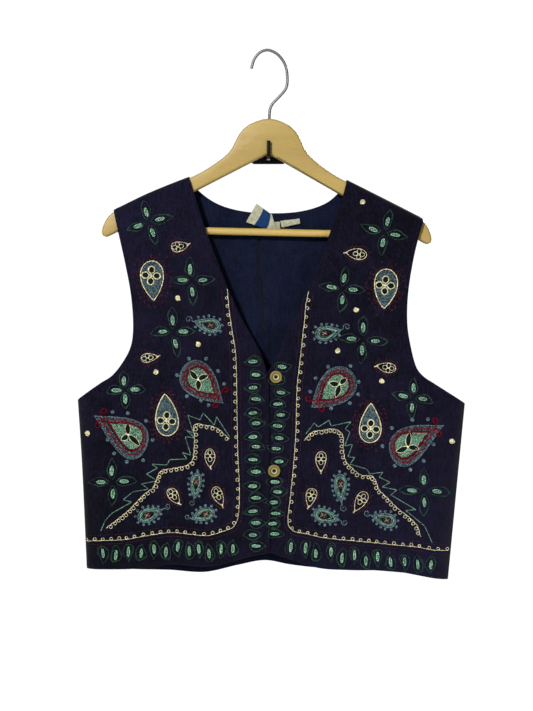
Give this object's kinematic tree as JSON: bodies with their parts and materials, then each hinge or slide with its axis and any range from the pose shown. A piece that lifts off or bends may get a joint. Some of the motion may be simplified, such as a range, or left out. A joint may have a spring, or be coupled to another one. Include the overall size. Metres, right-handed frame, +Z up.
{
  "type": "embroidered folk vest on a wooden hanger",
  "caption": "Sleeveless V-neck vest with embroidered fronts, lapped centre edge and small buttons, hung flat on a wooden trouser hanger held by a wall hook.",
  "frame": {"origin": "on the back of the wall hook's plate, level with the apex of the hanger's arch", "axes": "+X to the viewer's right, -Y out from the wall towards the viewer, +Z up"},
  "size_m": [0.5155, 0.0469, 0.7057],
  "materials": {
    "navy_cloth": "fine brushed navy cotton, the ground of the embroidered fronts",
    "navy_lining": "plain navy cotton, slightly bluer, back and its inside",
    "horn": "horn-coloured button with a paler dish",
    "label_cloth": "blank cream woven label",
    "beech": "varnished beech",
    "chrome": "bright chromed wire",
    "black": "glossy black plastic"
  },
  "bodies": {
    "root": {"front_left": "navy_cloth", "front_right": "navy_cloth", "back": "navy_lining", "button_upper": "horn", "button_lower": "horn", "neck_label": "label_cloth", "care_label": "label_cloth", "size_label": "label_cloth", "hanger_wood": "beech", "hanger_bar": "beech", "hanger_hook": "chrome", "wall_hook": "black"}
  },
  "joints": []
}
